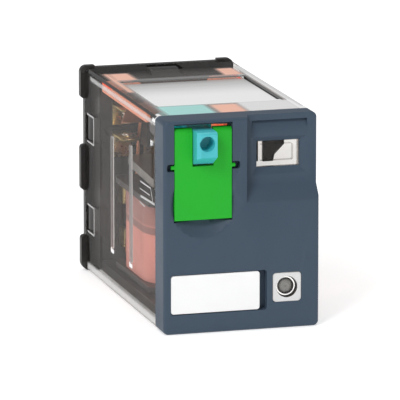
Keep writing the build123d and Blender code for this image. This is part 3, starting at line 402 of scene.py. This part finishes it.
def smoked_cover(name):
    """Smoked clear plastic with a polished skin, a top pad with frost, and painted highlights and
    reflections in white on its grooves, edges, corners, top and lamp boss.

    The skin shows over the see-through plastic by a share that grows where it is seen aslant, most of
    all on top as a painted reflection, and over the frost, painted highlights, painted glows and painted
    dark lines.
    """
    material, tree, output = new_material(name)
    places = object_places(tree)
    frost_and_painted_light = frost_and_highlights(tree, places)
    # painted shade: the dark lines
    lines = [patch(tree, places, soft, amount, **ranges) for soft, amount, ranges in PAINTED_SHADE_LINES]
    painted_shade = total(tree, lines)
    pale = calculate(tree, "SUBTRACT", frost_and_painted_light, painted_shade, clamp=True)
    colour = mix_colours(tree, pale, COVER_FILM, COVER_FROST_AND_HIGHLIGHT)
    # painted light of the inner pieces on the top
    for tone, strength, glow_places in TOP_PAINTED_GLOWS:
        glows = [
            patch(tree, places, TOP_GLOW_BLUR, 1.0, up=TOP_GLOW_HEIGHT, **ranges) for ranges in glow_places
        ]
        glow = total(tree, glows)
        colour = mix_colours(tree, glow, colour, tone)
        frost_and_painted_light = total(tree, [frost_and_painted_light, calculate(tree, "MULTIPLY", glow, strength)])

    through = tree.nodes.new("ShaderNodeBsdfTransparent")
    through.inputs["Color"].default_value = (*COVER_TINT, 1)
    skin = tree.nodes.new("ShaderNodeBsdfPrincipled")
    skin.inputs["IOR"].default_value = COVER_IOR
    tree.links.new(mix_colours(tree, painted_shade, colour, COVER_PAINTED_SHADE), skin.inputs["Base Color"])
    tree.links.new(ramp_along(tree, frost_and_painted_light, 0.0, 1.0, POLISHED, FROSTED), skin.inputs["Roughness"])
    grain_bump(tree, skin, object_noise(tree, RIPPLES, 2.0).outputs["Fac"], RIPPLE_HEIGHT)
    mix = tree.nodes.new("ShaderNodeMixShader")
    tree.links.new(skin_share(tree, places, frost_and_painted_light, painted_shade), mix.inputs["Fac"])
    tree.links.new(through.outputs["BSDF"], mix.inputs[1])
    tree.links.new(skin.outputs["BSDF"], mix.inputs[2])
    tree.links.new(mix.outputs["Shader"], output.inputs["Surface"])
    return material


# ---------------------------------------------------------------- coil tape
LAP_LOW, LAP_HIGH = -4.3, -3.3  # up
LAP_BLUR = 0.3
LAP_STRENGTH = 0.75
UPPER_DARK_STARTS, UPPER_DARK_FULL = -3.4, -3.0  # up
UPPER_DARK_STRENGTH = 0.62
TAPE_SHADOW = (0.16, 0.10, 0.10)


def wound_tape(name, colour, roughness, variation, glow):
    """Coil tape, darker over its upper part, with a dark band at a lap just below it."""
    material = moulded(name, colour, roughness=roughness, variation=variation, glow=glow)
    tree = material.node_tree
    shader = next(node for node in tree.nodes if node.type == "BSDF_PRINCIPLED")
    up = object_places(tree)["up"]
    lap = calculate(tree, "MULTIPLY", band(tree, up, LAP_LOW, LAP_HIGH, LAP_BLUR), LAP_STRENGTH)
    upper = ramp_along(tree, up, UPPER_DARK_STARTS * MM, UPPER_DARK_FULL * MM, 0.0, UPPER_DARK_STRENGTH)
    plain = shader.inputs["Base Color"].links[0].from_socket
    darkened = mix_colours(tree, total(tree, [lap, upper]), plain, TAPE_SHADOW)
    tree.links.new(darkened, shader.inputs["Base Color"])
    return material


# ---------------------------------------------------------------- finishes
BEZEL = moulded("bezel_slate", (0.051, 0.077, 0.112), roughness=0.5, variation=0.03, specular=0.25)
DOOR = moulded("door_green", (0.014, 0.425, 0.022), roughness=0.5, variation=0.03, specular=0.25)
BUTTON = moulded("button_teal", (0.060, 0.500, 0.550), roughness=0.4, variation=0.04)
TONGUE = moulded("button_teal_lit", (0.20, 0.62, 0.60), roughness=0.4, variation=0.04, glow=0.8)
LABEL = moulded("label_white", (0.93, 0.93, 0.93), roughness=0.5, variation=0.01)
BASE = moulded("base_black", (0.018, 0.017, 0.016), roughness=0.45, grain=0.004 * MM, variation=0.12)
CARD = moulded("card_grey", (0.10, 0.10, 0.11), roughness=0.4)
BOBBIN = moulded("bobbin_dark", (0.035, 0.028, 0.026), roughness=0.4)
TAPE = wound_tape("coil_tape", (0.95, 0.36, 0.30), roughness=0.35, variation=0.05, glow=0.05)
FLAG = moulded("flag_orange", (0.95, 0.30, 0.14), roughness=0.45, glow=0.25)
GUIDE = moulded("guide_orange", (0.95, 0.34, 0.20), roughness=0.45, glow=0.3)
REFLECTOR = moulded("reflector_white", (0.95, 0.95, 0.94), roughness=0.4, variation=0.01, glow=0.95)
FLAG_DARK = moulded("flag_dark", (0.02, 0.02, 0.022), roughness=0.4)
SLEEVE = moulded("wire_sleeve", (0.03, 0.03, 0.03), roughness=0.5)
BOARD = moulded("board_laminate", (0.30, 0.22, 0.08), roughness=0.5, variation=0.1)
LAMP = moulded("lamp_tinted", (0.42, 0.42, 0.40), roughness=0.12, variation=0.05, glow=0.15)
LENS = moulded("lens_grey", (0.24, 0.24, 0.23), roughness=0.2, variation=0.1, glow=0.2)
RESISTOR = moulded("resistor_body", (0.55, 0.42, 0.24), roughness=0.35)
DIODE = moulded("diode_body", (0.35, 0.10, 0.06), roughness=0.15)
BRASS = metal("brass_terminal", (0.80, 0.62, 0.30), roughness=0.3)
COPPER = metal("copper_spring", (0.95, 0.42, 0.24), roughness=0.32)
WINDING = metal("enamelled_copper", (0.65, 0.28, 0.13), roughness=0.3, brush=(1, 1, 14))
STEEL = metal("plated_steel", (0.52, 0.50, 0.48), roughness=0.35)
SPRING_WIRE = metal("spring_wire", (0.62, 0.62, 0.62), roughness=0.25)
SILVER = metal("contact_silver", (0.86, 0.82, 0.74), roughness=0.22)
CLEAR = smoked_cover("cover_smoked")
PRINT = moulded("print_grey", (0.55, 0.55, 0.55), roughness=0.6, variation=0.02)

FINISHES = {
    "base": BASE,
    "clear_cover": CLEAR,
    "front_bezel": BEZEL,
    "legend_label": LABEL,
    "lock_door": DOOR,
    "test_button": BUTTON,
    "nc_contacts": SILVER,
    "no_contacts": SILVER,
    "moving_contacts": SILVER,
    "core": STEEL,
    "yoke": STEEL,
    "armature": STEEL,
    "bobbin": BOBBIN,
    "coil_winding": WINDING,
    "coil_tape": TAPE,
    "return_spring": SPRING_WIRE,
    "coil_leads": WINDING,
    "led_leads": SLEEVE,
    "led": LAMP,
    "led_board": BOARD,
    "resistor": RESISTOR,
    "diode": DIODE,
    "card_rivets": BRASS,
    "contact_card": CARD,
    "flag_arm": FLAG,
    "indicator_flag": FLAG_DARK,
}
for kind, finish in (("terminal", BRASS), ("moving_spring", COPPER), ("pigtail", COPPER)):
    for name in NODES:
        if kind in name:
            FINISHES[name] = finish

BEVELS = {
    "front_bezel": 0.12 * MM,
    "lock_door": 0.1 * MM,
    "test_button": 0.1 * MM,
    "base": 0.1 * MM,
    "clear_cover": 0.08 * MM,
    "contact_card": 0.1 * MM,
    "bobbin": 0.1 * MM,
    "yoke": 0.12 * MM,
    "armature": 0.1 * MM,
}
BEVEL_SEGMENTS = 2
BEVEL_ANGLE = math.radians(40)
WELD_DISTANCE = 0.001 * MM


def dress(node, finish, bevel):
    """Gives a CAD node its finish, welded smooth shading and softened edges."""
    piece = NODES[node]
    piece.data.materials.clear()
    piece.data.materials.append(finish)
    weld = piece.modifiers.new("weld", "WELD")
    weld.merge_threshold = WELD_DISTANCE
    if bevel:
        soft = piece.modifiers.new("soft_edges", "BEVEL")
        soft.width = bevel
        soft.segments = BEVEL_SEGMENTS
        soft.limit_method = "ANGLE"
        soft.angle_limit = BEVEL_ANGLE
        soft.harden_normals = False
    for face in piece.data.polygons:
        face.use_smooth = True
    sharp = piece.modifiers.new("flat_faces", "WEIGHTED_NORMAL")
    sharp.keep_sharp = True


for node, finish in FINISHES.items():
    dress(node, finish, BEVELS.get(node, 0))


# ---------------------------------------------------------------- pieces made here
# All lengths of these pieces are in millimetres
FINE_BEVEL = 0.05
SMALL_BEVEL = 0.08


def facing_front(a, b, depth):
    """Outline across and up, depth forward."""
    return Vector((a, -depth, b)) * MM


def from_above(a, b, depth):
    """Outline across and forward, depth up."""
    return Vector((a, -b, depth)) * MM


def from_the_left(a, b, depth):
    """Outline forward and up, depth out to the left."""
    return Vector((-depth, -a, b)) * MM


def mesh_piece(name, shape, finish, body, bevel=0.0):
    """Turns a bmesh into a finished piece that rides on a body, unless its body is None."""
    bmesh.ops.recalc_face_normals(shape, faces=shape.faces)
    mesh = bpy.data.meshes.new(name)
    shape.to_mesh(mesh)
    shape.free()
    piece = bpy.data.objects.new(name, mesh)
    bpy.context.scene.collection.objects.link(piece)
    mesh.materials.append(finish)
    if bevel:
        soft = piece.modifiers.new("soft_edges", "BEVEL")
        soft.width = bevel * MM
        soft.segments = BEVEL_SEGMENTS
    for face in mesh.polygons:
        face.use_smooth = True
    piece.modifiers.new("flat_faces", "WEIGHTED_NORMAL")
    if body:
        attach(piece, body)
    return piece


def add_prism(shape, outline, place, low, high):
    """Adds a flat outline, in millimetres, given thickness from low to high."""
    near = [shape.verts.new(place(a, b, low)) for a, b in outline]
    far = [shape.verts.new(place(a, b, high)) for a, b in outline]
    shape.faces.new(near)
    shape.faces.new(list(reversed(far)))
    for i in range(len(outline)):
        j = (i + 1) % len(outline)
        shape.faces.new((near[i], far[i], far[j], near[j]))


def rectangle(left, right, low, high):
    """Outline of a rectangle."""
    return [(left, low), (right, low), (right, high), (left, high)]


# Indicator window: white reflector with a frame at its top and left, and the black flag in front of it
WINDOW_LEFT, WINDOW_RIGHT = 2.5, 9.4
WINDOW_BOTTOM, WINDOW_TOP = 4.7, 10.2
WINDOW_FRAME = 0.3
REFLECTOR_BACK, REFLECTOR_FRONT, FRAME_FRONT = 33.75, 34.05, 34.3
reflector = bmesh.new()
sheet = rectangle(WINDOW_LEFT, WINDOW_RIGHT, WINDOW_BOTTOM, WINDOW_TOP)
top_bar = rectangle(WINDOW_LEFT, WINDOW_RIGHT, WINDOW_TOP, WINDOW_TOP + WINDOW_FRAME)
left_bar = rectangle(WINDOW_LEFT, WINDOW_LEFT + WINDOW_FRAME, WINDOW_BOTTOM, WINDOW_TOP)
add_prism(reflector, sheet, facing_front, REFLECTOR_BACK, REFLECTOR_FRONT)
add_prism(reflector, top_bar, facing_front, REFLECTOR_BACK, FRAME_FRONT)
add_prism(reflector, left_bar, facing_front, REFLECTOR_FRONT, FRAME_FRONT)
mesh_piece("indicator_reflector", reflector, REFLECTOR, "housing", FINE_BEVEL)

FLAG_BACK, BARS_FRONT, PLATE_FRONT = 35.0, 35.3, 35.6
FLAG_LEFT, PLATE_LEFT = 3.35, 4.3
FLAG_BOTTOM, FLAG_TOP = 7.2, 11.9
flag = bmesh.new()
plate = (
    (PLATE_LEFT, FLAG_BOTTOM),
    (5.7, FLAG_BOTTOM),
    (5.9, 8.1),
    (7.2, 9.4),
    (7.2, 10.9),
    (5.0, FLAG_TOP),
    (PLATE_LEFT, FLAG_TOP),
)
# painted shadow: the thin dark bar left of the flag's plate stands for the shadow beside it
shadow_bar = rectangle(FLAG_LEFT, 3.75, FLAG_BOTTOM, FLAG_TOP)
crossbar = rectangle(FLAG_LEFT, 4.4, 11.0, FLAG_TOP)
add_prism(flag, plate, facing_front, FLAG_BACK, PLATE_FRONT)
add_prism(flag, shadow_bar, facing_front, FLAG_BACK, BARS_FRONT)
add_prism(flag, crossbar, facing_front, FLAG_BACK, BARS_FRONT)
flag_plate = mesh_piece("flag_plate", flag, FLAG_DARK, "armature", SMALL_BEVEL)
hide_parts("indicator_flag")

# Coloured frame under the cover's top, seen through it
UNDER_TOP = 13.15  # up, just under the cover's top
RAIL_BOTTOM, TAB_BOTTOM, SHEET_BOTTOM = 11.7, 12.6, 12.75
RAIL_INSIDE, RAIL_OUTSIDE = 8.75, 9.4
FRAME_REAR, RAIL_FRONT = 6.0, 28.0
corner = ((RAIL_OUTSIDE, FRAME_REAR), (5.6, FRAME_REAR), (4.6, 8.4), (6.2, 10.6), (RAIL_OUTSIDE, 11.0))
tab = ((-1.9, 31.5), (2.4, 31.5), (2.9, 36.3), (-2.2, 36.3))
retainer = bmesh.new()
for side in (-1, 1):
    side_rail = [(side * a, b) for a, b in rectangle(RAIL_INSIDE, RAIL_OUTSIDE, FRAME_REAR, RAIL_FRONT)]
    side_corner = [(side * a, b) for a, b in corner]
    add_prism(retainer, side_rail, from_above, RAIL_BOTTOM, UNDER_TOP)
    add_prism(retainer, side_corner, from_above, SHEET_BOTTOM, UNDER_TOP)
add_prism(retainer, tab, from_above, TAB_BOTTOM, UNDER_TOP)
mesh_piece("retainer_frame", retainer, GUIDE, "housing", SMALL_BEVEL)

# Tongue of the test button's inner body, over the contact card
TONGUE_REAR, TONGUE_FRONT = 29.0, 36.2
tongue = bmesh.new()
tongue_outline = (
    (-8.4, TONGUE_FRONT),
    (-8.4, 29.6),
    (-7.8, TONGUE_REAR),
    (-3.0, TONGUE_REAR),
    (-2.5, 29.6),
    (-2.5, TONGUE_FRONT),
)
add_prism(tongue, tongue_outline, from_above, SHEET_BOTTOM, UNDER_TOP)
mesh_piece("button_tongue", tongue, TONGUE, "test_button", SMALL_BEVEL)

RING_STEPS = 48


def add_lathe(shape, centre, section):
    """Adds a round piece about an axis that runs forward.

    Its closed section is given as radius and forward, in millimetres.
    """
    loops = []
    for step in range(RING_STEPS):
        turn = 2 * math.pi * step / RING_STEPS
        loop = []
        for radius, depth in section:
            across = centre.x / MM + radius * math.cos(turn)
            up = centre.z / MM + radius * math.sin(turn)
            loop.append(shape.verts.new(facing_front(across, up, depth)))
        loops.append(loop)
    for here, there in zip(loops, loops[1:] + loops[:1]):
        for i in range(len(section)):
            j = (i + 1) % len(section)
            shape.faces.new((here[i], there[i], there[j], here[j]))


# Dark collar, pale surround and grey lens of the lamp behind the cover's round hole
RINGS_BACK = 39.4
COLLAR_FRONT = 39.85
COLLAR_RINGS = ((0.96, 1.08), (1.28, 1.43))  # inner and outer radius
LENS_BACK = 39.1
LENS_RADIUS = 0.94
LENS_SECTION = (
    (0.02, LENS_BACK),
    (0.02, 39.9),
    (0.45, 39.85),
    (0.75, 39.75),
    (LENS_RADIUS, 39.55),
    (LENS_RADIUS, LENS_BACK),
)
SURROUND_SECTION = ((1.1, RINGS_BACK), (1.1, 39.65), (1.26, 39.75), (1.26, RINGS_BACK))
collar = bmesh.new()
for inner, outer in COLLAR_RINGS:
    ring = ((inner, RINGS_BACK), (inner, COLLAR_FRONT), (outer, COLLAR_FRONT), (outer, RINGS_BACK))
    add_lathe(collar, LAMP_CENTRE, ring)
mesh_piece("lamp_collar", collar, FLAG_DARK, "housing")
lens = bmesh.new()
add_lathe(lens, LAMP_CENTRE, LENS_SECTION)
mesh_piece("lamp_lens", lens, LENS, "housing")
surround = bmesh.new()
add_lathe(surround, LAMP_CENTRE, SURROUND_SECTION)
mesh_piece("lamp_surround", surround, REFLECTOR, "housing")

# Printed contact symbol on the left side, lines only
INK_BACK, INK_FRONT = 10.49, 10.52
SYMBOL_LINES = (  # forward and up at each end, and width
    (29.3, 4.2, 34.3, 4.25, 0.2),
    (34.3, 4.2, 35.4, 2.5, 0.16),
    (29.0, 3.2, 33.8, 3.25, 0.14),
    (29.4, 2.25, 36.2, 2.5, 0.3),
    (29.0, 1.4, 31.4, 1.25, 0.18),
)
symbol = bmesh.new()
for start_f, start_z, end_f, end_z, width in SYMBOL_LINES:
    start, end = Vector((start_f, start_z)), Vector((end_f, end_z))
    along = (end - start).normalized()
    aside = Vector((-along.y, along.x)) * width / 2
    stroke = [tuple(point) for point in (start - aside, end - aside, end + aside, start + aside)]
    add_prism(symbol, stroke, from_the_left, INK_BACK, INK_FRONT)
mesh_piece("contact_symbol", symbol, PRINT, "housing")


# Flexible braids from the common blades to the moving springs
BRAIDS = 4
BRAID_RADIUS = 0.26
BRAID_TWISTS = 9
BRAID_STEPS = 90
STRANDS = 3
STRAND_SIDES = 6
SHORT_WAY = 0.01  # part of the route over which its direction is taken
BRAID_ROUTE = ((0, 7.3, -2.4), (0, 7.9, 1.6), (0, 8.6, 7.0), (0, 12.0, 12.0), (-0.6, 17.0, 11.9))


def route_point(points, t):
    """Point on the smooth quadratic curve steered by the points, t from 0 to 1."""
    ends = [points[0], *[(a + b) / 2 for a, b in zip(points[1:-2], points[2:-1])], points[-1]]
    spans = len(ends) - 1
    span = min(int(t * spans), spans - 1)
    u = t * spans - span
    return ends[span] * (1 - u) ** 2 + points[span + 1] * 2 * u * (1 - u) + ends[span + 1] * u**2


def ring_round(shape, centre, out, across, radius):
    """Adds one ring of a strand's vertices."""
    ring = []
    for side in range(STRAND_SIDES):
        angle = 2 * math.pi * side / STRAND_SIDES
        ring.append(shape.verts.new(centre + (out * math.cos(angle) + across * math.sin(angle)) * radius))
    return ring


def braid(points, radius, twists):
    """Wire strands of half the braid's radius, wound round each other along a route."""
    shape = bmesh.new()
    for strand in range(STRANDS):
        rings = []
        for step in range(BRAID_STEPS + 1):
            t = step / BRAID_STEPS
            before = route_point(points, max(0.0, t - SHORT_WAY))
            ahead = (route_point(points, min(1.0, t + SHORT_WAY)) - before).normalized()
            out = ahead.cross(Vector((1, 0, 0))).normalized()
            across = ahead.cross(out)
            turn = 2 * math.pi * (strand / STRANDS + twists * t)
            centre = route_point(points, t) + (out * math.cos(turn) + across * math.sin(turn)) * radius / 2
            rings.append(ring_round(shape, centre, out, across, radius / 2))
        for here, there in zip(rings, rings[1:]):
            for i in range(STRAND_SIDES):
                j = (i + 1) % STRAND_SIDES
                shape.faces.new((here[i], here[j], there[j], there[i]))
        shape.faces.new(rings[0])
        shape.faces.new(rings[-1])
    return shape


for number in range(1, BRAIDS + 1):
    node = f"pigtail_{number}"
    right_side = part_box(node)[1][0] / MM
    points = [Vector((right_side - BRAID_RADIUS + x, -f, z)) * MM for x, f, z in BRAID_ROUTE]
    shape = braid(points, BRAID_RADIUS * MM, BRAID_TWISTS)
    strands = mesh_piece(f"braid_{number}", shape, COPPER, None)
    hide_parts(node)
    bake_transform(strands)


# ---------------------------------------------------------------- floor, light, camera
FLOOR_SIZE = 4.0
FLOOR_DROP = 0.02 * MM  # how far the floor lies below the object
FLOOR_GLOW = 0.4
DAYLIGHT = 0.42

bpy.ops.mesh.primitive_plane_add(size=FLOOR_SIZE, location=(0, 0, cad_low.z - FLOOR_DROP))
floor = bpy.context.object
floor.name = "floor"
floor_material, floor_tree, floor_output = new_material("floor_white")
floor_shader = floor_tree.nodes.new("ShaderNodeBsdfPrincipled")
floor_shader.inputs["Base Color"].default_value = (0.95, 0.95, 0.95, 1)
floor_shader.inputs["Roughness"].default_value = 0.9
floor_shader.inputs["Specular IOR Level"].default_value = 0.1
floor_shader.inputs["Emission Color"].default_value = (1, 1, 1, 1)
floor_shader.inputs["Emission Strength"].default_value = FLOOR_GLOW
floor_tree.links.new(floor_shader.outputs["BSDF"], floor_output.inputs["Surface"])
floor.data.materials.append(floor_material)

world = bpy.data.worlds.new("studio")
bpy.context.scene.world = world
world.use_nodes = True
background = world.node_tree.nodes["Background"]
background.inputs["Color"].default_value = (1, 1, 1, 1)
background.inputs["Strength"].default_value = DAYLIGHT


def softbox(name, position, target, size, power):
    """Square area light at a position, turned to a target."""
    lamp = bpy.data.lights.new(name, "AREA")
    lamp.shape = "SQUARE"
    lamp.size = size
    lamp.energy = power
    holder = bpy.data.objects.new(name, lamp)
    bpy.context.scene.collection.objects.link(holder)
    holder.location = position
    holder.rotation_euler = (Vector(target) - Vector(position)).to_track_quat("-Z", "Y").to_euler()


# Positions and sizes in metres, power in watts
CENTRE = (0, -0.02, 0)
softbox("key", (-0.34, -0.38, 0.42), CENTRE, 0.2, 1.7)
softbox("top", (0.05, 0.05, 0.6), CENTRE, 0.4, 1.0)
softbox("fill", (0.5, -0.35, 0.2), CENTRE, 0.4, 0.05)

# The camera stands in front, to the left and a little above, with a long lens
FOCAL_LENGTH = 457.4  # millimetres, like the sensor's width
SENSOR_WIDTH = 36.0
NEAREST = 0.01  # metres, like the distance and the point aimed at
AZIMUTH = math.radians(16.08)
ELEVATION = math.radians(12.08)
DISTANCE = 0.6549
AIM = Vector((-0.00563, -0.0405, 0.00369))
back = Vector(
    (
        -math.sin(AZIMUTH) * math.cos(ELEVATION),
        -math.cos(AZIMUTH) * math.cos(ELEVATION),
        math.sin(ELEVATION),
    )
)
camera_data = bpy.data.cameras.new("camera")
camera_data.lens = FOCAL_LENGTH
camera_data.sensor_width = SENSOR_WIDTH
camera_data.clip_start = NEAREST
camera = bpy.data.objects.new("camera", camera_data)
bpy.context.scene.collection.objects.link(camera)
camera.location = AIM + back * DISTANCE
camera.rotation_euler = (-back).to_track_quat("-Z", "Y").to_euler()
bpy.context.scene.camera = camera
bpy.context.scene.view_settings.view_transform = "Standard"
